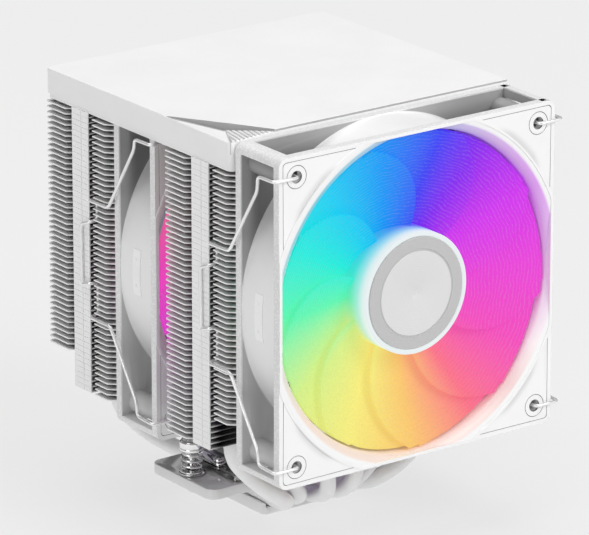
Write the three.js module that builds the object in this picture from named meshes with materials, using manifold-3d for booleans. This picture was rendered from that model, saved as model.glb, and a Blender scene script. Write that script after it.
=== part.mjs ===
// A white twin-tower processor cooler with two 120 mm fans, in millimetres.
// The origin is the centre of the cold plate's contact face, +Z points up,
// and the front fan faces -Y. Air travels along +Y through both towers.
import * as THREE from 'three';
import { mergeVertices } from 'three/addons/utils/BufferGeometryUtils.js';
import Module from 'manifold-3d';

const wasm = await Module();
wasm.setup();

// ---- Driving dimensions ----------------------------------------------------
const GAP = 0.3; // running and assembly gap between neighbouring pieces

const fan = {
  size: 120, depth: 25, cornerRadius: 3.5, flange: 3,
  flangeOverlap: 0.5, bore: 58.4, tunnel: 59.7, mouth: 63.2, mouthFlat: 58.7,
  holePitch: 105, holeRadius: 2.26, bossRadius: 4.1, postWidth: 5.5, postHeight: 3.5,
};
const frontFan = { y: -82.75, z: 97 };
const middleFan = { y: -9.55, z: 93.5 };

// Depths are measured behind the fan's front face; span and sweep are in radians.
const rotor = {
  hub: 22.2, hubWall: 1.2, front: 1, length: 17.5, recess: 20.8, recessDepth: 1.4, plate: 1.2,
  blades: 9, tip: 57.7, thickness: 1.4, span: 0.95, sweep: 0.5, camber: 1.2,
  rootFront: 9.5, tipFront: 2.4, rootBack: 15.5, tipBack: 11,
};

// The motor behind the hub: outer and inner are radii, front and back are depths.
const motor = {
  base: { outer: 20.5, front: 21.8, back: 24.8 },
  strut: 1.6,
  sleeve: { outer: 4.2, inner: 3.3, front: 6, back: 22.3 },
  shaftSocket: { outer: 2.6, inner: 1.4, front: 3.1, back: 5.4 },
  shaft: { outer: 1.1, front: 4.1, back: 20.5 },
  bearing: { outer: 3, inner: 1.4, front: 6.4, back: 20.8 },
  magnet: { outer: 20.6, inner: 18.9, front: 6, back: 17 },
  core: { outer: 8, inner: 4.5, front: 7.5, back: 16.5 },
  arm: { outer: 16, width: 4.8, shoe: 2, shoeWidth: 12, front: 8, back: 16 },
  board: { outer: 16.5, inner: 4.8, front: 19.4, back: 20.6 },
  lights: { outer: 20.2, inner: 17.2, front: 19, back: 21.4 },
  cap: { outer: 20.4, front: 1.1, back: 2.1 },
};

// How many flat sides stand for a circle, by its size.
const sides = { pin: 8, hole: 10, collar: 12, cup: 16, ring: 18, base: 24, hub: 27, bore: 36 };

const stack = {
  side: 61.5, depth: 39.5, bottom: 41, fins: 16, pitch: 6.85, thickness: 0.9,
  corner: 2.5, grooveDepth: 4, grooveStart: 10.1, panelStart: 12.6, panelEnd: 22.8,
  notchDepth: 2.7, notchMiddle: 24.15, notchEnd: 27.1, panelThickness: 0.6,
  cutBelow: 53, pipeOpening: 3.4,
};
const frontStackY = -56.45;
const rearStackY = 16.85;

const cover = {
  side: 61.6, front: -56.75, back: 55.85, top: 157, bottom: 147.9, lip: 146,
  lipInset: 0.5, lipOverlap: 0.5, wall: 1.2, roof: 2, corner: 2, pipeCeiling: 152.4,
};

const pipe = {
  radius: 3, sides: 7, pitch: 6.7, axisHeight: 5.7, top: 151, towerFoot: 38, channel: 3.1,
  towerX: [-47, -28, -9.5, 9.5, 28, 47],
  frontY: [-36.65, -32.65, -38.65, -38.65, -32.65, -36.65],
  rearY: [33.5, 29.5, 33.5, 33.5, 29.5, 33.5],
};

const base = {
  plateX: 21, plateY: 20.25, plateTop: 4.3, blockX: 19.8, blockY: 18.5, blockTop: 9.7,
  chamfer: 1.4,
};
const carrier = { x: 43.3, y: 19, bottom: 10, top: 14, corner: 4 };
const crossbar = {
  inner: 21.3, outer: 31.5, y: 17.5, corner: 1.8, thickness: 2,
  slotIn: 24.4, slotOut: 28.3, slotEnd: 14.8, slotCorner: 1.6,
};
const strap = { x: 28.9, width: 4.6, front: -6.3, back: 12.4, end: 2.2, thickness: 1 };
const strapScrew = {
  y: -3.8, shank: 1, way: 1.4, head: 2.1, headTop: 1.8, headHeight: 1.5, embed: 0.2, tipLift: 0.4,
  crossHalf: 1.3, crossWidth: 0.6, crossDepth: 0.9,
};
const springScrew = {
  x: 38.1, headRadius: 4.5, headTop: 26.9, headHeight: 3.9, shank: 1.5, tip: 6.8,
  socket: 2.2, socketDepth: 1.6, collarRadius: 4.8, collarTaper: 0.3, collarHeight: 1.3,
  clearance: 0.5, springRadius: 3.4, wire: 0.5, turns: 3, stepsPerTurn: 9,
};

const wire = {
  radius: 0.75, sides: 5, x: 62.5, frontGap: 0.3, hookDepth: 3.6, bend: 1.2, intoGroove: 2.7,
};

// ---- Materials ---------------------------------------------------------------
const finish = (color, roughness, metalness = 0) =>
  new THREE.MeshStandardMaterial({ color, roughness, metalness });
const paint = {
  whitePlastic: () => finish(0xf1f1f0, 0.45),
  whiteMetal: () => finish(0xeceded, 0.4),
  finWhite: () => finish(0xe6e7e8, 0.42),
  frosted: () => finish(0xe8ecf2, 0.3),
  greyDisc: () => finish(0xc9c9c9, 0.5),
  nickel: () => finish(0x77797c, 0.22, 1),
  chrome: () => finish(0xc4c6c8, 0.12, 1),
  steel: () => finish(0xb9bcbe, 0.3, 1),
  copper: () => finish(0xb77a4a, 0.35, 1),
  ferrite: () => finish(0x303236, 0.6),
  circuit: () => finish(0xe9ebea, 0.5),
};

// ---- Solid modelling helpers ---------------------------------------------------
function toSolid(geometry) {
  const bare = geometry.clone();
  bare.deleteAttribute('normal');
  bare.deleteAttribute('uv');
  const merged = mergeVertices(bare, 1e-4);
  return new wasm.Manifold(new wasm.Mesh({
    numProp: 3,
    vertProperties: new Float32Array(merged.attributes.position.array),
    triVerts: new Uint32Array(merged.index.array),
  }));
}

function toGeometry(solid) {
  const mesh = solid.getMesh();
  const geometry = new THREE.BufferGeometry();
  geometry.setAttribute('position', new THREE.BufferAttribute(mesh.vertProperties, 3));
  geometry.setIndex(new THREE.BufferAttribute(mesh.triVerts, 1));
  geometry.computeVertexNormals();
  return geometry;
}

const join = (...solids) => solids.reduce((all, next) => all.add(next));
const cut = (solid, ...tools) => tools.reduce((all, next) => all.subtract(next), solid);

function box(x0, x1, y0, y1, z0, z1) {
  const geometry = new THREE.BoxGeometry(x1 - x0, y1 - y0, z1 - z0);
  return toSolid(geometry.translate((x0 + x1) / 2, (y0 + y1) / 2, (z0 + z1) / 2));
}

// A cylinder or cone standing on z0, along +Z.
function cylinderZ(radius, z0, z1, x = 0, y = 0, segments = sides.collar, topRadius = radius) {
  const geometry = new THREE.CylinderGeometry(topRadius, radius, z1 - z0, segments);
  return toSolid(geometry.rotateX(Math.PI / 2).translate(x, y, (z0 + z1) / 2));
}

// A cylinder or cone from y0 to y1, along +Y.
function cylinderY(radius, y0, y1, x = 0, z = 0, segments = sides.collar, farRadius = radius) {
  const geometry = new THREE.CylinderGeometry(farRadius, radius, y1 - y0, segments);
  return toSolid(geometry.translate(x, (y0 + y1) / 2, z));
}

const discY = (size, segments) => cylinderY(size.outer, size.front, size.back, 0, 0, segments);

const ringY = (size, segments) =>
  cut(discY(size, segments), cylinderY(size.inner, size.front - 1, size.back + 1, 0, 0, segments));

function roundedRectangle(x0, x1, y0, y1, r) {
  const shape = new THREE.Shape();
  shape.moveTo(x0 + r, y0);
  shape.lineTo(x1 - r, y0);
  shape.absarc(x1 - r, y0 + r, r, -Math.PI / 2, 0);
  shape.lineTo(x1, y1 - r);
  shape.absarc(x1 - r, y1 - r, r, 0, Math.PI / 2);
  shape.lineTo(x0 + r, y1);
  shape.absarc(x0 + r, y1 - r, r, Math.PI / 2, Math.PI);
  shape.lineTo(x0, y0 + r);
  shape.absarc(x0 + r, y0 + r, r, Math.PI, 1.5 * Math.PI);
  return shape;
}

// A flat shape extruded upwards from z0 to z1.
function slabZ(shape, z0, z1, curveSegments = 3) {
  const settings = { depth: z1 - z0, bevelEnabled: false, curveSegments };
  const geometry = new THREE.ExtrudeGeometry(shape, settings);
  return toSolid(geometry.translate(0, 0, z0));
}

// A shape drawn in X and Z, extruded from y0 to y1.
function slabY(shape, y0, y1, curveSegments = 3) {
  const settings = { depth: y1 - y0, bevelEnabled: false, curveSegments };
  const geometry = new THREE.ExtrudeGeometry(shape, settings);
  return toSolid(geometry.rotateX(Math.PI / 2).translate(0, y1, 0));
}

// A closed skin over rings of points that all have the same count.
function loft(rings) {
  const count = rings[0].length;
  const positions = rings.flat(2);
  const index = [];
  for (let ring = 0; ring < rings.length - 1; ring++) {
    for (let i = 0; i < count; i++) {
      const a = ring * count + i;
      const b = ring * count + (i + 1) % count;
      index.push(a, b, b + count, a, b + count, a + count);
    }
  }
  const last = (rings.length - 1) * count;
  for (let i = 1; i < count - 1; i++) {
    index.push(0, i + 1, i, last, last + i, last + i + 1);
  }
  const geometry = new THREE.BufferGeometry();
  geometry.setAttribute('position', new THREE.Float32BufferAttribute(positions, 3));
  geometry.setIndex(index);
  return geometry;
}

// A path that visits its points exactly, for wires and pipes.
class PointPath extends THREE.Curve {
  constructor(points) {
    super();
    this.points = points;
  }
  getPoint(t) {
    const place = t * (this.points.length - 1);
    const i = Math.min(Math.floor(place + 1e-9), this.points.length - 2);
    return this.points[i].clone().lerp(this.points[i + 1], place - i);
  }
  getTangent(t) {
    const last = this.points.length - 1;
    const i = Math.round(t * last);
    const before = this.points[Math.max(i - 1, 0)];
    const here = this.points[i];
    const after = this.points[Math.min(i + 1, last)];
    const inward = here.clone().sub(before).normalize();
    const outward = after.clone().sub(here).normalize();
    return inward.add(outward).normalize();
  }
  getPointAt(u) {
    return this.getPoint(u);
  }
  getTangentAt(u) {
    return this.getTangent(u);
  }
}

function tube(points, radius, count) {
  const section = new THREE.Shape();
  for (let i = 0; i < count; i++) {
    const angle = ((i + 0.5) / count) * 2 * Math.PI;
    section[i ? 'lineTo' : 'moveTo'](radius * Math.cos(angle), radius * Math.sin(angle));
  }
  const extrudePath = new PointPath(points);
  const settings = { steps: points.length - 1, bevelEnabled: false, extrudePath };
  return new THREE.ExtrudeGeometry(section, settings);
}

// Bevels each inner corner of a route with two points, a reach away from the corner.
function roundCorners(route, reach) {
  const points = [route[0]];
  for (let i = 1; i < route.length - 1; i++) {
    const before = route[i].clone().sub(route[i - 1]);
    const after = route[i + 1].clone().sub(route[i]);
    const step = Math.min(reach, before.length() * 0.45, after.length() * 0.45);
    const start = route[i].clone().addScaledVector(before.normalize(), -step);
    const end = route[i].clone().addScaledVector(after.normalize(), step);
    points.push(start, end);
  }
  points.push(route[route.length - 1]);
  return points;
}

// ---- The model -------------------------------------------------------------
const group = new THREE.Group();
group.name = 'cpu_tower_cooler';

function place(name, geometry, material, parent = group) {
  const mesh = new THREE.Mesh(geometry, material);
  mesh.name = name;
  parent.add(mesh);
}

// ---- Fin towers --------------------------------------------------------------
// One fin's outline. Both sides carry the clip groove, the folded panel's edge and the notch.
// A low fin is cut off in front of or behind the panel: from and to are then finite.
function finOutline(startY, from, to) {
  const s = stack;
  const side = [
    [s.side - s.corner, 0], [s.side, s.corner],
    [s.side, s.grooveStart], [s.side - s.grooveDepth, s.grooveStart],
    [s.side - s.grooveDepth, s.panelStart], [s.side, s.panelStart],
    [s.side, s.panelEnd], [s.side - s.notchDepth, s.notchMiddle], [s.side, s.notchEnd],
    [s.side, s.depth - 1], [s.side - 1, s.depth],
  ].filter(([, y]) => y > from && y < to);
  if (Number.isFinite(from)) side.unshift([s.side, from]);
  if (Number.isFinite(to)) side.push([s.side, to]);
  const right = side.map(([x, y]) => new THREE.Vector2(x, startY + y));
  const left = side.map(([x, y]) => new THREE.Vector2(-x, startY + y)).reverse();
  return new THREE.Shape([...right, ...left]);
}

function finTower(startY, pipeY, lowFrom, lowTo) {
  const s = stack;
  let solid = null;
  for (let i = 0; i < s.fins; i++) {
    const z = s.bottom + i * s.pitch;
    const low = z < s.cutBelow;
    const outline = finOutline(startY, low ? lowFrom : -Infinity, low ? lowTo : Infinity);
    const fin = slabZ(outline, z, z + s.thickness);
    solid = solid ? solid.add(fin) : fin;
  }
  const top = s.bottom + (s.fins - 1) * s.pitch + s.thickness;
  for (const sign of [-1, 1]) {
    const [a, b] = [sign * s.side, sign * (s.side - s.panelThickness)].sort((m, n) => m - n);
    solid = solid.add(box(a, b, startY + s.panelStart, startY + s.panelEnd, s.bottom, top));
  }
  const r = s.pipeOpening;
  for (let i = 0; i < pipe.towerX.length; i++) {
    const [x, y] = [pipe.towerX[i], pipeY[i]];
    solid = cut(solid, box(x - r, x + r, y - r, y + r, s.bottom - 1, top + 1));
  }
  return toGeometry(solid);
}

const frontFins = finTower(frontStackY, pipe.frontY, stack.panelStart, Infinity);
const rearFins = finTower(rearStackY, pipe.rearY, -Infinity, stack.panelEnd);
place('front_fin_tower', frontFins, paint.finWhite());
place('rear_fin_tower', rearFins, paint.finWhite());

// ---- Heat pipes -----------------------------------------------------------------
// Half of a pipe, from the middle of the base up to its tip. Each pair holds the height
// above the base axis and how far the pipe has then fanned out towards its tower place.
function pipeHalf(baseX, towerX, towerY) {
  const exit = Math.sign(towerY) * base.plateY;
  const stages = [
    [0.0, 0.0, 0.12], [0.6, 0.02, 0.34], [2.6, 0.08, 0.66], [5.6, 0.22, 0.88],
    [10.5, 0.45, 1.0], [17, 0.7, 1.0], [23.5, 0.9, 1.0], [28, 0.975, 1.0],
  ];
  const points = [new THREE.Vector3(baseX, exit, pipe.axisHeight)];
  for (const [rise, spread, reach] of stages) {
    points.push(new THREE.Vector3(
      THREE.MathUtils.lerp(baseX, towerX, spread),
      THREE.MathUtils.lerp(exit, towerY, reach),
      pipe.axisHeight + rise,
    ));
  }
  points.push(new THREE.Vector3(towerX, towerY, pipe.towerFoot));
  points.push(new THREE.Vector3(towerX, towerY, pipe.top));
  return points;
}

for (let i = 0; i < 6; i++) {
  const baseX = (i - 2.5) * pipe.pitch;
  const rear = pipeHalf(baseX, pipe.towerX[i], pipe.rearY[i]).reverse();
  const front = pipeHalf(baseX, pipe.towerX[i], pipe.frontY[i]);
  place(`heat_pipe_${i + 1}`, tube([...rear, ...front], pipe.radius, pipe.sides), paint.whiteMetal());
}

// ---- Base -------------------------------------------------------------------------
function pipeChannels() {
  const half = pipe.channel;
  const channels = [];
  for (let i = 0; i < 6; i++) {
    const x = (i - 2.5) * pipe.pitch;
    channels.push(box(x - half, x + half, -30, 30, pipe.axisHeight - half, pipe.axisHeight + half));
  }
  return join(...channels);
}

function coldPlate() {
  const c = base.chamfer;
  const [x, y] = [base.plateX, base.plateY];
  const corners = [
    [-x + c, -y], [x - c, -y], [x, -y + c], [x, y - c],
    [x - c, y], [-x + c, y], [-x, y - c], [-x, -y + c],
  ];
  const shape = new THREE.Shape(corners.map((corner) => new THREE.Vector2(...corner)));
  return toGeometry(cut(slabZ(shape, 0, base.plateTop), pipeChannels()));
}
place('cold_plate', coldPlate(), paint.whiteMetal());

function baseBlock() {
  const [x, y] = [base.blockX, base.blockY];
  return toGeometry(cut(box(-x, x, -y, y, base.plateTop + GAP, base.blockTop), pipeChannels()));
}
place('base_block', baseBlock(), paint.whiteMetal());

function mountingPlate() {
  const c = carrier;
  let solid = slabZ(roundedRectangle(-c.x, c.x, -c.y, c.y, c.corner), c.bottom, c.top, 4);
  for (const sign of [-1, 1]) {
    const hole = springScrew.shank + springScrew.clearance;
    solid = cut(solid, cylinderZ(hole, c.bottom - 1, c.top + 1, sign * springScrew.x, 0));
  }
  return toGeometry(solid);
}
place('mounting_plate', mountingPlate(), paint.whiteMetal());

// The parts that exist once on each side of the base: a slotted bar, a strap held on it by
// a cross-head screw, and a sprung screw with its collar on the plate.
for (const [side, sign] of [['left', -1], ['right', 1]]) {
  const span = (a, b) => [sign * a, sign * b].sort((m, n) => m - n);
  const b = crossbar;
  const barBottom = carrier.top + GAP;
  const barTop = barBottom + b.thickness;
  const [bar0, bar1] = span(b.inner, b.outer);
  const [slot0, slot1] = span(b.slotIn, b.slotOut);
  const slot = roundedRectangle(slot0, slot1, -b.slotEnd, b.slotEnd, b.slotCorner);
  const t = strapScrew;
  const strapX = sign * strap.x;
  const strapBottom = barTop + GAP;
  const strapTop = strapBottom + strap.thickness;
  const screwWay = cylinderZ(t.way, barBottom - 1, strapTop + 1, strapX, t.y);

  const bar = slabZ(roundedRectangle(bar0, bar1, -b.y, b.y, b.corner), barBottom, barTop);
  const slottedBar = cut(bar, slabZ(slot, barBottom - 1, barTop + 1), screwWay);
  place(`crossbar_${side}`, toGeometry(slottedBar), paint.nickel());

  const half = strap.width / 2;
  const strapShape = roundedRectangle(
    strapX - half, strapX + half, strap.front, strap.back, strap.end,
  );
  const strapSolid = cut(slabZ(strapShape, strapBottom, strapTop, 4), screwWay);
  place(`retaining_strap_${side}`, toGeometry(strapSolid), paint.chrome());

  const seat = strapTop + GAP;
  const top = seat + t.headHeight;
  const plainScrew = join(
    cylinderZ(t.head, seat, top, strapX, t.y, sides.collar, t.headTop),
    cylinderZ(t.shank, barBottom + t.tipLift, seat + t.embed, strapX, t.y, sides.pin),
  );
  const [long, wide] = [t.crossHalf, t.crossWidth / 2];
  const cross = join(
    box(-long, long, -wide, wide, -t.crossDepth, 1),
    box(-wide, wide, -long, long, -t.crossDepth, 1),
  ).translate([strapX, t.y, top]);
  place(`strap_screw_${side}`, toGeometry(cut(plainScrew, cross)), paint.steel());

  const q = springScrew;
  const x = sign * q.x;
  const collarBottom = carrier.top + GAP;
  const collarTop = collarBottom + q.collarHeight;
  const headBottom = q.headTop - q.headHeight;
  const collar = cut(
    cylinderZ(q.collarRadius, collarBottom, collarTop, x, 0, sides.cup, q.collarRadius - q.collarTaper),
    cylinderZ(q.shank + q.clearance, collarBottom - 1, collarTop + 1, x, 0),
  );
  place(`screw_collar_${side}`, toGeometry(collar), paint.steel());

  const head = cut(
    cylinderZ(q.headRadius, headBottom, q.headTop, x, 0, sides.ring),
    cylinderZ(q.socket, q.headTop - q.socketDepth, q.headTop + 1, x, 0, 6),
  );
  const shank = cylinderZ(q.shank, q.tip, headBottom + 1, x, 0, sides.hole);
  place(`spring_screw_${side}`, toGeometry(join(head, shank)), paint.chrome());

  const springBottom = collarTop + GAP + q.wire;
  const springTop = headBottom - GAP - q.wire;
  const steps = q.turns * q.stepsPerTurn;
  const coil = [];
  for (let i = 0; i <= steps; i++) {
    const angle = (i / q.stepsPerTurn) * 2 * Math.PI;
    const z = THREE.MathUtils.lerp(springBottom, springTop, i / steps);
    const [across, along] = [q.springRadius * Math.cos(angle), q.springRadius * Math.sin(angle)];
    coil.push(new THREE.Vector3(x + across, along, z));
  }
  place(`screw_spring_${side}`, tube(coil, q.wire, wire.sides), paint.chrome());
}

// ---- Top cover -----------------------------------------------------------------------
// The lowered corner of the top: a dished triangle along the left edge, a ribbed wedge
// beside it and a narrow strip along the front.
function coverRecess() {
  const above = cover.top + 1;
  const out = 1;
  const floor = [
    [-cover.side - out, cover.front - out, 156.75],
    [cover.side + out, cover.front - out, 156.7],
    [cover.side + out, -53.75, 156.3],
    [-39.8, -53.45, 156.3],
    [-49.8, -36.4, 154.1],
    [-cover.side - out, -16.2, 157.05],
  ];
  const lid = floor.map(([px, py]) => [px, py, above]);
  const count = floor.length;
  const index = [];
  for (const [a, b, c] of [[0, 4, 5], [0, 3, 4], [0, 1, 3], [1, 2, 3]]) {
    index.push(a, c, b, a + count, b + count, c + count);
  }
  for (let i = 0; i < count; i++) {
    const next = (i + 1) % count;
    index.push(i, next, next + count, i, next + count, i + count);
  }
  const geometry = new THREE.BufferGeometry();
  geometry.setAttribute('position', new THREE.Float32BufferAttribute([...floor, ...lid].flat(), 3));
  geometry.setIndex(index);
  return toSolid(geometry);
}

function topCover() {
  const c = cover;
  const inset = c.lipInset;
  const outline = roundedRectangle(-c.side, c.side, c.front, c.back, c.corner);
  const skirt = slabZ(outline, c.bottom, c.top);
  const lipShape = roundedRectangle(
    -c.side + inset, c.side - inset, c.front + inset, c.back - inset, c.corner,
  );
  const lip = slabZ(lipShape, c.lip, c.bottom + c.lipOverlap);
  const inner = c.side - c.wall;
  const towerRoom = box(-inner, inner, c.front + c.wall, c.back - c.wall, c.lip - 1, c.pipeCeiling);
  const [fanStart, fanEnd] = [middleFan.y - 1, middleFan.y + fan.depth + 1];
  const fanRoom = box(-inner, inner, fanStart, fanEnd, c.lip - 1, c.top - c.roof);
  return toGeometry(cut(join(skirt, lip), towerRoom, fanRoom, coverRecess()));
}
place('top_cover', topCover(), paint.whitePlastic());

// ---- Fans -------------------------------------------------------------------------------
function fanFrame() {
  const f = fan;
  const half = f.size / 2;
  const hole = f.holePitch / 2;
  const inside = f.flangeOverlap;
  const outline = roundedRectangle(-half, half, -half, half, f.cornerRadius);
  const [inFront, behind] = [-1, f.depth + 1];
  let solid = join(
    slabY(outline, 0, f.flange),
    slabY(outline, f.depth - f.flange, f.depth),
    cylinderY(f.tunnel, f.flange - inside, f.depth - f.flange + inside, 0, 0, sides.bore),
  );
  const between = slabY(outline, inside, f.depth - inside);
  for (const sx of [-1, 1]) {
    for (const sz of [-1, 1]) {
      const [x0, x1] = [sx * half, sx * (half - f.postWidth)].sort((a, b) => a - b);
      const [z0, z1] = [sz * half, sz * (half - f.postHeight)].sort((a, b) => a - b);
      const post = box(x0, x1, 1, f.depth - 1, z0, z1).intersect(between);
      const boss = cylinderY(f.bossRadius, 1, f.depth - 1, sx * hole, sz * hole, sides.hole);
      solid = join(solid, post, boss);
    }
  }
  const lead = 0.1; // how far the cutter for the mouth stands in front of the face
  const mouthStart = f.mouth + (lead * (f.mouth - f.bore)) / f.flange;
  const mouth = cylinderY(mouthStart, -lead, f.flange, 0, 0, sides.bore, f.bore);
  const flats = box(-f.mouthFlat, f.mouthFlat, inFront, behind, -f.mouthFlat, f.mouthFlat);
  const bore = cylinderY(f.bore, inFront, behind, 0, 0, sides.bore);
  solid = cut(solid, bore, mouth.intersect(flats));
  for (const sx of [-1, 1]) {
    for (const sz of [-1, 1]) {
      const x = sx * hole;
      solid = cut(solid, cylinderY(f.holeRadius, inFront, behind, x, sz * hole, sides.hole));
    }
  }
  return toGeometry(join(solid, motorMount()));
}

// The round motor base at the back of a frame, its four struts and the sleeve for the bearing.
function motorMount() {
  const { base: plate, sleeve, strut } = motor;
  let solid = join(discY(plate, sides.base), discY(sleeve, sides.collar));
  for (let i = 0; i < 4; i++) {
    const reach = [plate.outer - 1, fan.bore + 0.6];
    const strutBox = box(...reach, plate.front, plate.back, -strut, strut);
    solid = solid.add(strutBox.rotate([0, 45 + 90 * i, 0]));
  }
  return cut(solid, cylinderY(sleeve.inner, sleeve.front - 1, plate.front));
}

function impeller() {
  const r = rotor;
  const back = r.front + r.length;
  const plateFront = r.front + r.recessDepth;
  let solid = cylinderY(r.hub, r.front, back, 0, 0, sides.hub);
  for (let i = 0; i < r.blades; i++) {
    solid = solid.add(toSolid(blade((i / r.blades) * 2 * Math.PI)));
  }
  solid = cut(
    solid,
    cylinderY(r.hub - r.hubWall, plateFront + r.plate, back + 1, 0, 0, sides.hub),
    cylinderY(r.recess, r.front - 1, plateFront, 0, 0, sides.hub),
  );
  return toGeometry(join(solid, ringY(motor.shaftSocket, sides.collar)));
}

// A curved blade: its leading edge is swept forward, and its pitch flattens outwards.
function blade(turn) {
  const r = rotor;
  const rooted = r.hub - r.hubWall / 2;
  const rings = [];
  for (const radius of [rooted, 34, 46, r.tip]) {
    const grow = (radius - r.hub) / (r.tip - r.hub);
    const sweep = turn + r.sweep * grow * grow;
    const front = THREE.MathUtils.lerp(r.rootFront, r.tipFront, grow);
    const back = THREE.MathUtils.lerp(r.rootBack, r.tipBack, grow);
    const upper = [];
    const lower = [];
    for (const [along, half] of [[0, 0.3], [0.5, 0.5], [1, 0.3]]) {
      const angle = sweep + r.span * along;
      const y = THREE.MathUtils.lerp(front, back, along) + r.camber * Math.sin(Math.PI * along);
      const [x, z] = [radius * Math.cos(angle), radius * Math.sin(angle)];
      upper.push([x, y + half * r.thickness, z]);
      lower.unshift([x, y - half * r.thickness, z]);
    }
    rings.push([...upper, ...lower]);
  }
  return loft(rings);
}

function stator() {
  const { core, arm } = motor;
  const [half, shoe] = [arm.width / 2, arm.shoeWidth / 2];
  let solid = discY(core, sides.cup);
  for (let i = 0; i < 4; i++) {
    const limb = join(
      box(core.inner, arm.outer, arm.front, arm.back, -half, half),
      box(arm.outer - arm.shoe, arm.outer, arm.front, arm.back, -shoe, shoe),
    );
    solid = solid.add(limb.rotate([0, 90 * i, 0]));
  }
  return toGeometry(cut(solid, cylinderY(core.inner, core.front - 1, core.back + 1)));
}

for (const [name, site] of [['front', frontFan], ['middle', middleFan]]) {
  const unit = new THREE.Group();
  unit.position.set(0, site.y, site.z);
  group.add(unit);
  const pieces = [
    ['fan_frame', fanFrame(), paint.whitePlastic()],
    ['impeller', impeller(), paint.frosted()],
    ['hub_cap', toGeometry(discY(motor.cap, sides.hub)), paint.greyDisc()],
    ['magnet_ring', toGeometry(ringY(motor.magnet, sides.ring)), paint.ferrite()],
    ['motor_shaft', toGeometry(discY(motor.shaft, sides.hole)), paint.steel()],
    ['bearing', toGeometry(ringY(motor.bearing, sides.collar)), paint.copper()],
    ['stator', stator(), paint.copper()],
    ['circuit_board', toGeometry(ringY(motor.board, sides.cup)), paint.circuit()],
    ['light_ring', toGeometry(ringY(motor.lights, sides.cup)), paint.frosted()],
  ];
  for (const [part, geometry, material] of pieces) place(`${name}_${part}`, geometry, material, unit);
}

// ---- Wire clips -----------------------------------------------------------------------------
// The route of a clip on a fan: hook in the upper hole, arm round the flange, slanting run
// back to the tower's groove, finger loop on the panel, and the same again below.
function clipRoute(site, grooveY, sign, underCover) {
  const hole = fan.holePitch / 2;
  const outer = sign * wire.x;
  const inGroove = sign * (stack.side - wire.intoGroove);
  const face = site.y - wire.radius - wire.frontGap;
  const hookEnd = site.y + wire.hookDepth;
  const hookX = sign * hole;
  const armTop = underCover ? 51 : 52.6;
  const at = (x, y, z) => new THREE.Vector3(x, y, site.z + z);
  const route = [at(hookX, hookEnd, hole), at(hookX, face, hole)];
  if (underCover) route.push(at(sign * (hole + 4.5), face, armTop));
  route.push(
    at(outer, face, armTop), at(outer, site.y + 8.6, armTop - 0.2), at(outer, site.y + 9, 47),
    at(outer, site.y + 25.4, 21.3), at(outer, grooveY, 20.9), at(inGroove, grooveY, 20.4),
    at(inGroove, grooveY, 13), at(outer, grooveY, 12.6), at(outer, grooveY + 4.9, 10.8),
    at(outer, grooveY + 4.6, -11.8), at(outer, grooveY, -10.4), at(inGroove, grooveY, -10.8),
    at(inGroove, grooveY, -22.6), at(outer, grooveY, -23.1), at(outer, site.y + 25, -23),
    at(outer, site.y + 9, -47), at(outer, site.y + 8.4, -52.1), at(outer, face, -52.6),
    at(hookX, face, -hole), at(hookX, hookEnd, -hole),
  );
  return roundCorners(route, wire.bend);
}

for (const [side, sign] of [['left', -1], ['right', 1]]) {
  const clips = [['front', frontFan, frontStackY, false], ['middle', middleFan, rearStackY, true]];
  for (const [name, site, stackY, underCover] of clips) {
    const grooveY = stackY + (stack.grooveStart + stack.panelStart) / 2;
    const route = clipRoute(site, grooveY, sign, underCover);
    place(`${name}_clip_${side}`, tube(route, wire.radius, wire.sides), paint.steel());
  }
}

export default group;
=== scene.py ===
import math

import bpy
from mathutils import Matrix, Vector


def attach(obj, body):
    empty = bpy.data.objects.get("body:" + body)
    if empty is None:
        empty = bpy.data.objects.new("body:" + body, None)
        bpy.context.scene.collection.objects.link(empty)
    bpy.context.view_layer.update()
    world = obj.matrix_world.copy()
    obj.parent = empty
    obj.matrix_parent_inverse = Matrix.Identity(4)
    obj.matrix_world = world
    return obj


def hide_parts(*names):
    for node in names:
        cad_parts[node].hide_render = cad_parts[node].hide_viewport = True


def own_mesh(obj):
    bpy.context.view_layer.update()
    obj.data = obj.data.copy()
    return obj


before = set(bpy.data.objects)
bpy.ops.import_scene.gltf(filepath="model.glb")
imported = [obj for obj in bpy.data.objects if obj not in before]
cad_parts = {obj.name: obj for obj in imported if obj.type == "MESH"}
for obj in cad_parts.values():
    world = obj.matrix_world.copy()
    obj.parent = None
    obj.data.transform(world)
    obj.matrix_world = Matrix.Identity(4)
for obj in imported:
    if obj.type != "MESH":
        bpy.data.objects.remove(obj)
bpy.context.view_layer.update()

ops = bpy.ops
MM = 0.001
WHOLE_TURN = 2 * math.pi


# ---- Sizes in millimetres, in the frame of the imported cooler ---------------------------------
FRONT_FAN = (-82.75, 97.0)  # y of the front face, z of the axis
MIDDLE_FAN = (-9.55, 93.5)
FAN_SHIFT = Vector((0, MIDDLE_FAN[0] - FRONT_FAN[0], MIDDLE_FAN[1] - FRONT_FAN[1])) * MM
FAN_HALF, FAN_DEPTH, FLANGE, FAN_CORNER = 60.0, 25.0, 3.0, 3.5
BORE, TUNNEL, MOUTH, FLAT, LIP = 58.4, 59.7, 63.2, 58.7, 1.2
HOLE, HOLE_RADIUS, BOSS_RADIUS, POST = 52.5, 2.26, 4.1, 5.5
HUB, HUB_RECESS, BLADES = 22.2, 20.8, 9

FRONT_STACK, REAR_STACK = -56.45, 16.85
STACK_SIDE, STACK_DEPTH, STACK_BOTTOM, STACK_TOP = 61.5, 39.5, 41.0, 144.65
FINS, FIN_THICKNESS, LOW_FINS = 51, 0.42, 6
FIN_PITCH = (STACK_TOP - FIN_THICKNESS - STACK_BOTTOM) / (FINS - 1)
GROOVE_START, PANEL_START, PANEL_SEAM, PANEL_END = 10.1, 12.6, 17.0, 22.8

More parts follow.
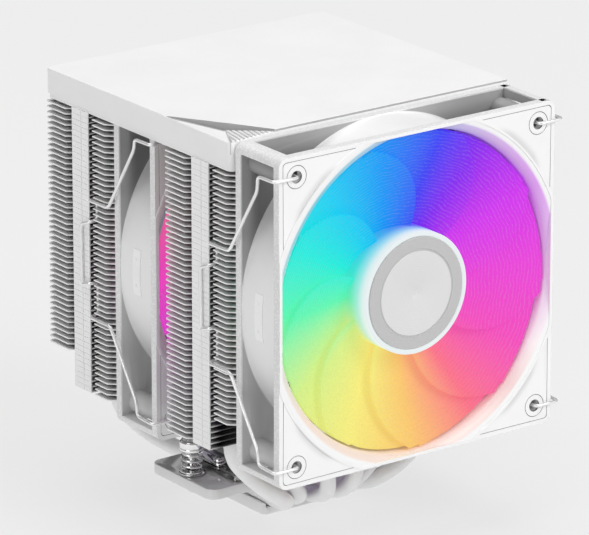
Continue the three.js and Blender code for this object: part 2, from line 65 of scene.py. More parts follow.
COVER_SIDE, COVER_FRONT, COVER_BACK = 61.6, -56.75, 55.85
COVER_TOP, COVER_BOTTOM, COVER_LIP = 157.0, 147.9, 146.0
NOTCH_SIDE, NOTCH_MIDDLE, NOTCH_FRONT = (-62.6, -16.2), (-49.8, -36.4), (-39.8, -53.45)
NOTCH_CORNER = (-62.6, -57.75)

PIPE_RADIUS, PIPE_AXIS, PIPE_PITCH, PIPE_TOP, PIPE_FOOT, BASE_EXIT = 3.0, 5.7, 6.7, 151.0, 38.0, 20.25
TOWER_X = (-47, -28, -9.5, 9.5, 28, 47)
FRONT_PIPES = (-36.65, -32.65, -38.65, -38.65, -32.65, -36.65)
REAR_PIPES = (33.5, 29.5, 33.5, 33.5, 29.5, 33.5)

SCREW_X, STRAP_X, STRAP_SCREW_Y = 38.1, 28.9, -3.8
PLATE_LOW, PLATE_TOP, BAR_LOW, BAR_HIGH, STRAP_LOW, STRAP_HIGH = 10.0, 14.0, 14.3, 16.3, 16.6, 17.6
WIRE_RADIUS, WIRE_X = 0.62, 62.5
PAD, PAD_ARC, DIP = 58.35, 63.7, 54.9


def at(x, y, z):
    return Vector((x, y, z)) * MM


# ---- Modelling by hand -----------------------------------------------------------------------
def nothing_selected():
    if bpy.context.object and bpy.context.object.mode != "OBJECT":
        ops.object.mode_set(mode="OBJECT")
    ops.object.select_all(action="DESELECT")


def pick(*pieces):
    """Selects these pieces, the first one active."""
    nothing_selected()
    for piece in pieces:
        piece.select_set(True)
    bpy.context.view_layer.objects.active = pieces[0]
    return pieces[0]


def named(name):
    piece = bpy.context.object
    piece.name = piece.data.name = name
    return piece


def settle(piece):
    """Puts a piece's place into its mesh, so that its object sits at the origin."""
    pick(piece)
    ops.object.transform_apply(location=True, rotation=True, scale=True)
    return piece


def outward(piece, merge=0.002):
    """Closes seams and poles, then points every face outwards."""
    pick(piece)
    ops.object.mode_set(mode="EDIT")
    ops.mesh.select_all(action="SELECT")
    ops.mesh.remove_doubles(threshold=merge * MM)
    ops.mesh.normals_make_consistent(inside=False)
    ops.object.mode_set(mode="OBJECT")
    return piece


def drawn(name, points, closed=True, filled=False):
    """A line drawn from point to point, as a chain of extruded corners."""
    nothing_selected()
    ops.mesh.primitive_plane_add(size=MM, location=points[0])
    piece = named(name)
    ops.object.mode_set(mode="EDIT")
    ops.mesh.merge(type="CENTER")
    route = list(points) + ([points[0]] if closed else [])
    for here, there in zip(route, route[1:]):
        ops.mesh.extrude_region_move(TRANSFORM_OT_translate={"value": there - here})
    ops.mesh.select_all(action="SELECT")
    if closed:
        ops.mesh.remove_doubles(threshold=0.001 * MM)
    if filled:
        ops.mesh.edge_face_add()
    return piece


def slab(name, points, rise):
    """A flat outline pushed out into a plate."""
    piece = drawn(name, points, filled=True)
    ops.mesh.extrude_region_move(TRANSFORM_OT_translate={"value": rise})
    ops.object.mode_set(mode="OBJECT")
    return outward(settle(piece))


def turned(name, profile, centre, axis="Y", steps=96, closed=True):
    """A profile of (radius, height) points in millimetres, spun round an axis through centre."""
    along = {"Y": Vector((0, 1, 0)), "Z": Vector((0, 0, 1))}[axis]
    points = [centre + Vector((radius * MM, 0, 0)) + along * height * MM for radius, height in profile]
    piece = drawn(name, points, closed=closed)
    ops.mesh.spin(steps=steps, angle=WHOLE_TURN, center=centre, axis=along)
    ops.object.mode_set(mode="OBJECT")
    return outward(settle(piece))


def block(name, low, high, bevel=0.0, segments=2):
    """A box from corner to corner in millimetres, with its edges beveled."""
    low, high = Vector(low) * MM, Vector(high) * MM
    nothing_selected()
    ops.mesh.primitive_cube_add(size=1, location=(low + high) / 2, scale=high - low)
    piece = settle(named(name))
    if bevel:
        ops.object.mode_set(mode="EDIT")
        ops.mesh.select_all(action="SELECT")
        ops.mesh.bevel(offset=bevel * MM, segments=segments, affect="EDGES")
        ops.object.mode_set(mode="OBJECT")
    return piece


def tube(name, points, radius, sides=16):
    """A round wire or pipe along a line of points."""
    piece = drawn(name, points, closed=False)
    ops.object.mode_set(mode="OBJECT")
    pick(settle(piece))
    ops.object.convert(target="CURVE")
    line = bpy.context.object
    line.data.bevel_depth, line.data.bevel_resolution = radius * MM, sides // 4 - 1
    line.data.use_fill_caps = True
    ops.object.convert(target="MESH")
    return outward(named(name))


def modified(piece, kind, **settings):
    """Adds one modifier and applies it."""
    pick(piece)
    ops.object.modifier_add(type=kind)
    added = piece.modifiers[-1]
    for name, value in settings.items():
        setattr(added, name, value)
    ops.object.modifier_apply(modifier=added.name)
    return piece


def combined(piece, tool, operation):
    """Cuts the tool out of a piece, adds it or keeps what they share, and takes the tool away."""
    modified(piece, "BOOLEAN", operation=operation, solver="EXACT", object=tool)
    bpy.data.objects.remove(tool)
    return piece


def joined(name, *pieces):
    pick(*pieces)
    if len(pieces) > 1:
        ops.object.join()
    return named(name)


def softened(piece, width, segments=2, angle=35):
    """Rounds the sharp edges of a finished shape and shades its curves smoothly."""
    if width:
        modified(
            piece, "BEVEL", width=width * MM, segments=segments, limit_method="ANGLE",
            angle_limit=math.radians(angle), use_clamp_overlap=True, miter_outer="MITER_ARC",
        )
    pick(piece)
    ops.object.shade_smooth_by_angle(angle=math.radians(angle))
    return piece


def twin(piece, name, shift=(0, 0, 0), mirrored=False, turn=0.0, centre=None):
    """A copy with its own mesh: moved, mirrored left to right, or turned about the Y direction."""
    pick(piece)
    ops.object.duplicate(linked=False)
    copy = named(name)
    ops.object.mode_set(mode="EDIT")
    ops.mesh.select_all(action="SELECT")
    ops.transform.translate(value=Vector(shift))
    if turn:
        ops.transform.rotate(value=-turn, orient_axis="Y", center_override=centre)
    if mirrored:
        ops.transform.resize(value=(-1, 1, 1), center_override=(0, 0, 0))
        ops.mesh.normals_make_consistent(inside=False)
    ops.object.mode_set(mode="OBJECT")
    return copy


def arc(centre, radius, start, end, steps):
    """Points (a, b) round part of a circle, angles in degrees."""
    angles = [math.radians(start + (end - start) * i / steps) for i in range(steps + 1)]
    return [(centre[0] + radius * math.cos(a), centre[1] + radius * math.sin(a)) for a in angles]


def rounded(a0, a1, b0, b1, radius, steps=6):
    """The outline of a rectangle with round corners, as (a, b) points."""
    points = []
    corners = ((a1 - radius, b0 + radius, -90), (a1 - radius, b1 - radius, 0),
               (a0 + radius, b1 - radius, 90), (a0 + radius, b0 + radius, 180))
    for a, b, start in corners:
        points += arc((a, b), radius, start, start + 90, steps)
    return points


def flat(points, z):
    """(x, y) points laid at a height."""
    return [at(x, y, z) for x, y in points]


def smooth_route(route, reach, steps=5):
    """A route whose corners are rounded, the curve starting a reach before each corner."""
    points = [route[0]]
    for before, corner, after in zip(route, route[1:], route[2:]):
        back, ahead = before - corner, after - corner
        step = min(reach * MM, back.length * 0.45, ahead.length * 0.45)
        start, end = corner + back.normalized() * step, corner + ahead.normalized() * step
        for i in range(steps + 1):
            t = i / steps
            points.append(start * (1 - t) ** 2 + corner * 2 * t * (1 - t) + end * t * t)
    return points + [route[-1]]


# ---- Finishes --------------------------------------------------------------------------------
class Socket:
    """A value in a material. The usual signs between two values add Math nodes."""

    def __init__(self, tree, link=None):
        self.tree, self.link = tree, link

    def node(self, kind, inputs=None, output=0, stops=None, **settings):
        made = self.tree.nodes.new(kind)
        for name, value in settings.items():
            setattr(made, name, value)
        if stops:
            elements = made.color_ramp.elements
            elements[0].position, elements[-1].position = stops[0][0], stops[-1][0]
            elements[0].color, elements[-1].color = (*stops[0][1], 1), (*stops[-1][1], 1)
            for position, colour in stops[1:-1]:
                elements.new(position).color = (*colour, 1)
        for name, value in (inputs or {}).items():
            if isinstance(value, Socket):
                self.tree.links.new(value.link, made.inputs[name])
            else:
                made.inputs[name].default_value = value
        return Socket(self.tree, made.outputs[output])

    def maths(self, operation, first, *others):
        return self.node("ShaderNodeMath", dict(enumerate((first, *others))), operation=operation)

    def __add__(self, other):
        return self.maths("ADD", self, other)

    def __sub__(self, other):
        return self.maths("SUBTRACT", self, other)

    def __rsub__(self, other):
        return self.maths("SUBTRACT", other, self)

    def __mul__(self, other):
        return self.maths("MULTIPLY", self, other)

    def __truediv__(self, other):
        return self.maths("DIVIDE", self, other)

    __radd__, __rmul__ = __add__, __mul__


def place_on(start):
    return start.node("ShaderNodeTexCoord", output="Object")


def noise(place, scale, detail=2.0, rough=0.5):
    inputs = {"Vector": place, "Scale": scale, "Detail": detail, "Roughness": rough}
    return place.node("ShaderNodeTexNoise", inputs)


def stretched(place, scale):
    return place.node("ShaderNodeMapping", {"Vector": place, "Scale": scale})


def blended(factor, first, second):
    """A colour between two others."""
    inputs = {"Factor": factor, 6: first, 7: second}
    return factor.node("ShaderNodeMix", inputs, output=2, data_type="RGBA")


def ramp(value, low, high):
    """0 below low, 1 above high, smooth between."""
    inputs = {"Value": value, "From Min": low, "From Max": high}
    return value.node("ShaderNodeMapRange", inputs, interpolation_type="SMOOTHSTEP")


def bump(height, depth, strength=1.0):
    inputs = {"Height": height, "Distance": depth * MM, "Strength": strength}
    return height.node("ShaderNodeBump", inputs)


def rgb(red, green=None, blue=None):
    """A colour in linear light; one number gives a grey."""
    return (red, red if green is None else green, red if blue is None else blue, 1)


def material(name, paint):
    """A new material; paint gets a starting socket and returns the shader's values by name."""
    made = bpy.data.materials.new(name)
    made.use_nodes = True
    shader = made.node_tree.nodes["Principled BSDF"]
    for socket, value in paint(Socket(made.node_tree)).items():
        if isinstance(value, Socket):
            made.node_tree.links.new(value.link, shader.inputs[socket])
        else:
            shader.inputs[socket].default_value = value
    return made


def coating(light, dark, roughness, grain, depth, clouds=45, coat=0.0, metallic=0.0):
    """A sprayed or moulded surface: faint clouds of tone over an even fine grain."""
    def paint(start):
        place = place_on(start)
        fine, broad = noise(place, grain, 3), noise(place, clouds, 3, 0.6)
        return {
            "Base Color": blended(ramp(broad, 0.3, 0.7), dark, light),
            "Roughness": roughness + (fine - 0.5) * 0.16 + (broad - 0.5) * 0.08,
            "Normal": bump(fine, depth), "Metallic": metallic,
            "Coat Weight": coat, "Coat Roughness": 0.25,
        }
    return paint


def plated(light, dark, roughness, streak=(1, 1, 1)):
    """Plated metal with faint draw lines and a clouded polish."""
    def paint(start):
        place = place_on(start)
        lines = noise(stretched(place, streak), 900, 4, 0.6)
        broad = noise(place, 160, 3)
        return {
            "Base Color": blended(ramp(broad, 0.35, 0.7), dark, light),
            "Roughness": roughness + lines * 0.08, "Metallic": 1.0,
            "Normal": bump(lines, 0.004),
        }
    return paint


def surface(start, centre=(0, 0, 0)):
    """The surface's x, y and z in millimetres from a centre, and its place in metres."""
    place = place_on(start)
    parts = [place.node("ShaderNodeSeparateXYZ", {"Vector": place}, output=i) for i in range(3)]
    return (*(part / MM - middle for part, middle in zip(parts, centre)), place)


def round_axis(start, site):
    """The same from the middle of a fan's front, with the radius round its axis before the place."""
    x, depth, z, place = surface(start, (0, *site))
    return x, depth, z, start.maths("SQRT", x * x + z * z), place


def rings(radius, pitch):
    """Turned rings, 0 to 1, a pitch apart."""
    return radius.maths("SINE", radius * (WHOLE_TURN / pitch)) * 0.5 + 0.5


def within(value, rise, fall):
    """1 between two soft edges and 0 outside them."""
    return ramp(value, *rise) * (1 - ramp(value, *fall))


def largest(first, *others):
    for other in others:
        first = first.maths("MAXIMUM", first, other)
    return first


def past_line(x, y, point, normal):
    """How far the surface lies past a line through a point, along the line's normal."""
    return (x - point[0]) * normal[0] + (y - point[1]) * normal[1]


RAINBOW = (
    (0.0, (0.80, 0.055, 0.68)), (0.08, (0.64, 0.035, 0.84)), (0.165, (0.24, 0.022, 0.86)),
    (0.215, (0.05, 0.055, 0.90)), (0.29, (0.004, 0.31, 0.91)), (0.36, (0.004, 0.60, 0.88)),
    (0.43, (0.012, 0.82, 0.70)), (0.5, (0.11, 0.90, 0.44)), (0.585, (0.65, 0.85, 0.24)),
    (0.67, (0.90, 0.82, 0.20)), (0.75, (0.93, 0.56, 0.15)), (0.83, (0.93, 0.16, 0.24)),
    (0.915, (0.87, 0.07, 0.50)), (1.0, (0.80, 0.055, 0.68)),
)


def hue_round(start, x, z, phase):
    turn = start.maths("ARCTAN2", z, x) / WHOLE_TURN + phase
    return start.node("ShaderNodeValToRGB", {"Fac": start.maths("FRACT", turn)}, stops=RAINBOW)


# Colours of the painted glow round the inside of each mouth: the blades' light, going once round the axis.
MOUTH_GLOW = (
    (0.0, (0.75, 0.55, 0.8)), (0.083, (0.66, 0.31, 0.78)), (0.15, (0.62, 0.42, 0.75)),
    (0.25, (0.46, 0.54, 0.73)), (0.333, (0.33, 0.6, 0.7)), (0.375, (0.2, 0.54, 0.65)),
    (0.417, (0.28, 0.57, 0.65)), (0.5, (0.56, 0.67, 0.62)), (0.6, (0.8, 0.67, 0.59)),
    (0.667, (0.8, 0.67, 0.59)), (0.833, (0.8, 0.65, 0.62)), (0.875, (0.77, 0.58, 0.57)),
    (0.92, (0.85, 0.78, 0.79)), (1.0, (0.75, 0.55, 0.8)),
)


def lit_blades(site, phase):
    """Frosted plastic lit from the hub: the hue goes once round the axis, over fine wavy rings."""
    def paint(start):
        x, _, z, radius, place = round_axis(start, site)
        hue = hue_round(start, x, z, phase)
        frost = noise(place, 1400, 3)
        ripple = rings(radius + noise(place, 150, 3) * 3.5, 1.25)
        paler = blended(ramp(ripple * frost, 0.30, 0.6) * 0.1, hue, rgb(0.7))
        return {
            "Base Color": blended(frost * 0.2 + 0.7, hue, rgb(0.01)),
            "Roughness": 0.5 + frost * 0.14, "Normal": bump(frost, 0.006),
            "Emission Color": paler, "Emission Strength": 0.8, "Specular IOR Level": 0.08,
        }
    return paint


def lit_hub(site, phase):
    """The milky wall of the hub: white at its front rim, taking the blades' hue behind it."""
    def paint(start):
        x, depth, z, _, place = round_axis(start, site)
        frost = noise(place, 1600, 2)
        hue = hue_round(start, x, z, phase)
        tinted = blended(ramp(depth, 4, 11) * 0.7 + 0.28, rgb(0.55, 0.9, 0.95), hue)
        glow = blended(ramp(depth + frost * 1.6, 2.6, 7.2), rgb(0.88, 0.95, 0.96), tinted)
        return {
            "Base Color": blended(frost * 0.3, rgb(0.1), rgb(0.16)), "Roughness": 0.4 + frost * 0.1,
            "Emission Color": glow, "Emission Strength": 0.8, "Normal": bump(frost, 0.006),
            "Specular IOR Level": 0.15,
        }
    return paint


def pocket_shade(x, z, radius, depth, inset):
    """How much shade is painted on a surface down in a pocket between the flanges, 0 to 1: more the deeper
    it lies, less lower down, and little on the lit inner wall of the top right post.
    """
    rear = FAN_DEPTH - FLANGE
    between = within(depth, (FLANGE - 0.4, FLANGE - 0.1), (rear + 0.1, rear + 0.4))
    off_wall = ramp(radius, TUNNEL + 0.3, TUNNEL + 0.5)
    on_wall = (1 - off_wall) * 0.4 * ramp(inset, 2, 12)
    deep = off_wall * (0.72 + 0.28 * ramp(inset, 1, 8)) + on_wall
    # Painted light: the painted shade is weaker lower down, where more light falls.
    lower_is_lighter = ramp(z, -55, 30) * 0.45 + 0.55
    # Painted light: the inner wall of the top right corner post is painted as lit, with little shade.
    lit_post = ramp(x, FAN_HALF - POST, FAN_HALF - 4) * ramp(z, 50, 54)
    outside_bore = ramp(radius, TUNNEL - 0.7, TUNNEL - 0.3)
    return between * outside_bore * ramp(inset, 0.2, 0.8) * deep * lower_is_lighter * (1 - lit_post * 0.8)


def lit_frame(site, light, dark):
    """The frame's plastic, with painted shade down in the open pockets between the flanges, in the fine
    grooves and in the unmodelled dips beside the mouth, a painted highlight on the arrow plate, and a
    painted glow of the blades' light tinting it round the mouth."""
    plain = coating(light, dark, 0.4, 1500, 0.012)

    def paint(start):
        values = plain(start)
        x, depth, z, radius, place = round_axis(start, site)
        width, height = start.maths("ABSOLUTE", x), start.maths("ABSOLUTE", z)
        reach, straight = largest(width, height), FAN_HALF - FAN_CORNER
        past = largest(width - straight, 0), largest(height - straight, 0)
        rounding = start.maths("SQRT", past[0] * past[0] + past[1] * past[1])
        inset = FAN_CORNER - rounding + largest(straight - reach, 0)

        # Painted highlight: the raised arrow plate on the tunnel wall is painted lighter and kept clear of
        # the painted pocket shade.
        lit_arrow_plate = ramp(radius, TUNNEL + 0.12, TUNNEL + 0.2) * (1 - ramp(x, -56, -55))
        lit_arrow_plate = lit_arrow_plate * (1 - ramp(height, 8.7, 8.8)) * within(depth, (9.5, 9.7), (14.8, 15))
        # Painted shade down in the pockets between the flanges.
        pocket = pocket_shade(x, z, radius, depth, inset) * (1 - lit_arrow_plate)

        # Painted shade in the fine grooves round the pads and the screw holes.
        groove = within(depth, (0.08, 0.18), (0.5, 1)) * ramp(radius, MOUTH + 0.2, MOUTH + 0.4)
        groove = groove * (1 - ramp(reach, FLAT - 0.2, FLAT))
        cells = place.node("ShaderNodeTexVoronoi", {"Vector": place, "Scale": 1150.0})
        rim = (1 - ramp(inset, 0.1, 0.3)) * ramp(cells, 0.25, 0.5) * 0.14
        # Painted shade where the real frame dips beside the mouth; the dip itself is not modelled.
        dip_shade = within(radius, (PAD_ARC + 0.1, PAD_ARC + 0.4), (PAD_ARC + 0.6, PAD_ARC + 3.5))
        dip_shade = dip_shade * (1 - ramp(depth, 0.6, 1.2)) * (1 - ramp(reach, 50, DIP))
        shaded = blended(largest(pocket * 0.84, groove * 0.85, rim), values["Base Color"], rgb(0.08))
        shaded = blended(dip_shade * 0.26, blended(lit_arrow_plate * 0.8, shaded, rgb(0.97)), rgb(0.2))

        # Painted glow: inside the mouth the plastic takes the blades' light into its colour and a faint
        # emission.
        in_bore = largest(1 - ramp(radius, BORE + 0.3, BORE + 0.6), 1 - ramp(depth, 2.5, 2.8))
        inside = within(depth, (0.1, 0.4), (13, 22)) * (1 - ramp(radius, MOUTH, MOUTH + 0.2))
        inside = inside * (1 - ramp(reach, FLAT - 0.1, FLAT + 0.1)) * in_bore
        turn = start.maths("FRACT", start.maths("ARCTAN2", z, x) / WHOLE_TURN + 1.0)
        blade_glow = start.node("ShaderNodeValToRGB", {"Fac": turn}, stops=MOUTH_GLOW)
        values["Base Color"] = blended(inside, shaded, blade_glow)
        values["Emission Color"] = blended(inside, rgb(0), blade_glow)
        values["Emission Strength"] = 0.08
        return values
    return paint


def shaded_cover(light, dark):
    """The cover's plastic, with painted shade along the foot of the step round its lowered corner, on the
    low step along the front and on the floor between the ribs.
    """
    plain = coating(light, dark, 0.42, 1700, 0.012)

    def paint(start):
        values = plain(start)
        x, y, z, _ = surface(start)
        # Painted shade: the masks below darken the lowered corner where shade falls by the step, the low
        # front step and between the ribs.
        inward = ramp(x, -61.4, -61.0) * ramp(y, -56.6, -56.2)
        along_step = within(past_line(x, y, NOTCH_SIDE, (0.845, 0.535)), (-3, -0.6), (0.2, 0.6))
        along_step = along_step * inward * (1 - ramp(x, NOTCH_FRONT[0] - 0.4, NOTCH_FRONT[0] + 0.2))
        front_strip = within(y, (-54.5, -53.6), (-53.4, -53.2))
        front_strip = front_strip * ramp(x, NOTCH_FRONT[0] - 0.2, NOTCH_FRONT[0] + 0.2)
        ribbed = ramp(past_line(x, y, NOTCH_MIDDLE, (0.857, -0.514)), 0.3, 0.6)
        ribbed = ribbed * ramp(past_line(x, y, NOTCH_CORNER, (-0.185, 0.983)), 0.9, 1.2)
        ribbed = ribbed * (1 - ramp(x, -41.0, -40.4)) * inward
        lowered = within(z, (152, 152.5), (COVER_TOP - 0.15, COVER_TOP - 0.05))
        shade = largest(along_step, front_strip, ribbed * 0.75) * lowered
        values["Base Color"] = blended(shade * 0.72, values["Base Color"], rgb(0.2))
        return values
    return paint


def shaded_fin(light, dark):
    """Thin coated sheet with painted shade: its own white kept along its edges and on the folded panels,
    painted almost black deeper inside the stack, where the fins shade each other.
    """
    plain = coating(light, dark, 0.38, 900, 0.006, clouds=120)

    def paint(start):
        values = plain(start)
        x, y, _, _ = surface(start)
        width = start.maths("ABSOLUTE", x)
        front = start.maths("ABSOLUTE", y - (FRONT_STACK + STACK_DEPTH / 2))
        rear = start.maths("ABSOLUTE", y - (REAR_STACK + STACK_DEPTH / 2))
        # Painted shade: away from the edges the fin's colour goes to near black.
        edge = largest(ramp(width, 56, 61.6), ramp(start.maths("MINIMUM", front, rear), 15, 19.7))
        values["Base Color"] = blended(edge, rgb(0.05), values["Base Color"])
        return values
    return paint


def polished_plate(light, dark):
    """Metal that is polished on its top and softly coated round its sides."""
    plain = coating(light, dark, 0.34, 1100, 0.012, clouds=70)

    def paint(start):
        values = plain(start)
        bright = ramp(surface(start)[2], PLATE_TOP - 0.25, PLATE_TOP - 0.02)
        values["Metallic"] = bright * 0.4
        values["Roughness"] = values["Roughness"] * (1 - bright) + bright * 0.13
        return values
    return paint


def spun_disc(site):
    """A light grey disc with fine turned rings, paler inside its step."""
    def paint(start):
        _, _, _, radius, place = round_axis(start, site)
        inner = 1 - ramp(radius, 15.1, 15.5)
        grain, turned_lines = noise(place, 1500, 2), rings(radius, 0.62)
        tone = blended(inner, rgb(0.5), rgb(0.67))
        return {
            "Base Color": blended(turned_lines * inner * 0.3, tone, rgb(0.78)),
            "Roughness": 0.38 + turned_lines * 0.12 + grain * 0.08, "Metallic": 0.0,
            "Normal": bump(turned_lines * 0.7 + grain * 0.3, 0.03),
        }
    return paint


def windings(site):
    """Copper wire laid in turns over a dark core."""
    def paint(start):
        _, _, _, radius, place = round_axis(start, site)
        on_tooth = within(radius, (7.5, 8.5), (14.2, 14.7))
        return {
            "Base Color": blended(on_tooth, rgb(0.3, 0.31, 0.33), rgb(0.72, 0.33, 0.14)),
            "Metallic": 1.0, "Roughness": 0.34 + noise(place, 2500, 2) * 0.15,
            "Normal": bump(rings(radius, 0.5) * on_tooth, 0.12),
        }
    return paint


def board(start):
    """White solder mask with copper tracks showing through."""
    place = place_on(start)
    joints = {"Vector": place, "Scale": 420.0}
    cells = place.node("ShaderNodeTexVoronoi", joints, feature="DISTANCE_TO_EDGE")
    tracks = 1 - ramp(cells, 0.06, 0.1)
    return {
        "Base Color": blended(tracks * 0.5, rgb(0.8, 0.82, 0.8), rgb(0.55, 0.6, 0.56)),
        "Roughness": 0.4 + noise(place, 1800, 2) * 0.15, "Normal": bump(tracks, 0.03),
    }


finishes = {
    "cover": material("satin_moulding", shaded_cover(rgb(0.9), rgb(0.88))),
    "ribs": material("ribbed_moulding", coating(rgb(0.9), rgb(0.88), 0.42, 1700, 0.012)),
    "fin": material("coated_fin", shaded_fin(rgb(0.93), rgb(0.9))),
    "pipe": material("coated_pipe", coating(rgb(0.88), rgb(0.84), 0.34, 1200, 0.01, clouds=90, coat=0.2)),
    "base": material("coated_base", coating(rgb(0.82), rgb(0.78), 0.36, 1100, 0.012, clouds=70, coat=0.1)),
    "plate": material("polished_plate", polished_plate(rgb(0.84), rgb(0.8))),
    "motor": material("motor_moulding", coating(rgb(0.85), rgb(0.83), 0.4, 1500, 0.012)),
    "dark_nickel": material("dark_nickel_plate", plated(rgb(0.42), rgb(0.28), 0.14, (1, 0.08, 1))),
    "nickel": material("bright_nickel_plate", plated(rgb(0.95), rgb(0.86), 0.03)),
    "steel": material("turned_steel", plated(rgb(0.7), rgb(0.58), 0.16)),
    "wire": material(
        "polished_wire", coating(rgb(0.93), rgb(0.87), 0.2, 900, 0.004, coat=0.3, metallic=0.45)
    ),
    "bronze": material("sintered_bronze", plated(rgb(0.55, 0.36, 0.16), rgb(0.42, 0.27, 0.12), 0.34)),
    "ferrite": material("pressed_ferrite", coating(rgb(0.055), rgb(0.035), 0.6, 1600, 0.03, clouds=300)),
}


def fan_finishes(site, phase):
    milky = coating(rgb(0.9, 0.92, 0.95), rgb(0.8, 0.84, 0.9), 0.3, 800, 0.01)
    return {
        "blades": material("lit_blades", lit_blades(site, phase)),
        "hub": material("lit_hub", lit_hub(site, phase)),
        "frame": material("fan_moulding", lit_frame(site, rgb(0.88), rgb(0.86))),
        "disc": material("spun_disc", spun_disc(site)),
        "windings": material("wound_core", windings(site)),
        "board": material("white_board", board),
        "diffuser": material("milky_diffuser", milky),
    }


def finished(piece, paint, body, slot, *nodes):
    """Gives a piece its material, body and the solids it stands for. The record slot is not used."""
    piece.data.materials.clear()
    piece.data.materials.append(paint)
    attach(piece, body)
    if nodes:
        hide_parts(*nodes)
    return piece


# ---- Fin towers ------------------------------------------------------------------------------
def fin_outline(first, last):
    """One side of a fin from its leading edge to its trailing edge, as (x, offset) points."""
    side = [(59.0, 0), (61.5, 2.5), (61.5, GROOVE_START), (57.5, GROOVE_START), (57.5, PANEL_START),
            (61.5, PANEL_START), (61.5, PANEL_END), (58.8, 24.15), (58.8, 24.9), (61.5, 27.1),
            (61.5, 38.5), (60.5, 39.5)]
    kept = [(x, y) for x, y in side if first < y < last]
    if first >= 0:
        kept.insert(0, (61.5, first))
    if last <= STACK_DEPTH:
        kept.append((61.5, last))
    return kept + [(-x, y) for x, y in reversed(kept)]


def fin_layer(name, start, pipe_places, z, count, first=-1.0, last=99.0):
    """Identical fins, one pitch apart, each with its pipe holes and folded side tabs."""
    outline = [(x, start + y) for x, y in fin_outline(first, last)]
    fin = slab(name, flat(outline, z), Vector((0, 0, FIN_THICKNESS * MM)))
    holes = []
    for i, (x, y) in enumerate(zip(TOWER_X, pipe_places)):
        nothing_selected()
        ops.mesh.primitive_cylinder_add(vertices=10, radius=3.25 * MM, depth=4 * MM, location=at(x, y, z))
        holes.append(settle(named(f"hole_{i}")))
    combined(fin, joined("holes", *holes), "DIFFERENCE")
    tabs = []
    tab_ends = ((PANEL_START, PANEL_SEAM - 0.1), (PANEL_SEAM + 0.1, PANEL_END))
    for side in (-1, 1):
        for begin, end in tab_ends:
            x = sorted((side * STACK_SIDE, side * (STACK_SIDE - FIN_THICKNESS)))
            low, high = (x[0], start + begin, z + FIN_THICKNESS), (x[1], start + end, z + FIN_PITCH - 0.08)
            tabs.append(block("tab", low, high))
    fin = joined(name, fin, *tabs)
    outward(fin)
    return modified(
        fin, "ARRAY", count=count, use_relative_offset=False, use_constant_offset=True,
        constant_offset_displace=(0, 0, FIN_PITCH * MM),
    )


def fin_tower(name, start, pipe_places, node, low_first, low_last):
    low = fin_layer(name + "_low", start, pipe_places, STACK_BOTTOM, LOW_FINS, low_first, low_last)
    high_z = STACK_BOTTOM + LOW_FINS * FIN_PITCH
    high = fin_layer(name + "_high", start, pipe_places, high_z, FINS - LOW_FINS)
    tower = joined(name, high, low)
    finished(tower, finishes["fin"], "heatsink", "fin_white", node)


fin_tower("front_fins", FRONT_STACK, FRONT_PIPES, "front_fin_tower", PANEL_START, 99.0)
fin_tower("rear_fins", REAR_STACK, REAR_PIPES, "rear_fin_tower", -1.0, PANEL_END)


# ---- Heat pipes ------------------------------------------------------------------------------
PIPE_STAGES = ((0, 0, 0.12), (0.6, 0.02, 0.34), (2.6, 0.08, 0.66), (5.6, 0.22, 0.88),
               (10.5, 0.45, 1), (17, 0.7, 1), (23.5, 0.9, 1), (28, 0.975, 1))


def pipe_half(base_x, tower_x, tower_y):
    """From the base's edge up to the tip, as points."""
    edge = math.copysign(BASE_EXIT, tower_y)
    points = [at(base_x, edge, PIPE_AXIS)]
    for rise, spread, reach in PIPE_STAGES:
        x, y = base_x + (tower_x - base_x) * spread, edge + (tower_y - edge) * reach
        points.append(at(x, y, PIPE_AXIS + rise))
    return points + [at(tower_x, tower_y, PIPE_FOOT), at(tower_x, tower_y, PIPE_TOP)]


def curved(points, steps=4):
    """More points on the smooth curve through the given ones, its straight ends kept straight."""
    made = [points[0]]
    for i in range(len(points) - 1):
        a, b = points[i], points[i + 1]
        before, after = points[max(i - 1, 0)], points[min(i + 2, len(points) - 1)]
        for k in range(1, steps + 1):
            t = k / steps
            made.append(0.5 * (2 * a + (b - before) * t + (2 * before - 5 * a + 4 * b - after) * t * t
                               + (3 * a - before - 3 * b + after) * t ** 3))
    return made


for i in range(6):
    base_x = (i - 2.5) * PIPE_PITCH
    rear, front = pipe_half(base_x, TOWER_X[i], REAR_PIPES[i]), pipe_half(base_x, TOWER_X[i], FRONT_PIPES[i])
    bends = curved([*reversed(rear[:-1]), *front[:-1]])
    pipe = tube(f"pipe_{i + 1}", [rear[-1], *bends, front[-1]], PIPE_RADIUS, sides=24)
    softened(pipe, 0, angle=50)
    finished(pipe, finishes["pipe"], "heatsink", "pipe_white", f"heat_pipe_{i + 1}")


# ---- Base ------------------------------------------------------------------------------------
def channels():
    """The six grooves in which the pipes cross the base."""
    cuts = []
    for i in range(6):
        x = (i - 2.5) * PIPE_PITCH
        cuts.append(block("channel", (x - 3.1, -30, PIPE_AXIS - 3.1), (x + 3.1, 30, PIPE_AXIS + 3.1)))
    return joined("channels", *cuts)


def upright_cylinder(name, radius, low, high, x, y, sides=32):
    nothing_selected()
    ops.mesh.primitive_cylinder_add(
        vertices=sides, radius=radius * MM, depth=(high - low) * MM, location=at(x, y, (low + high) / 2)
    )
    return settle(named(name))


def chamfered(x, y, c):
    """The outline of a plate with cut corners."""
    right = [(x - c, -y), (x, -y + c), (x, y - c), (x - c, y)]
    return right + [(-a, b) for a, b in reversed(right)]


plate = slab("contact_plate", flat(chamfered(21, 20.25, 1.4), 0), at(0, 0, 4.3))
softened(combined(plate, channels(), "DIFFERENCE"), 0.25)
finished(plate, finishes["base"], "heatsink", "base_white", "cold_plate")

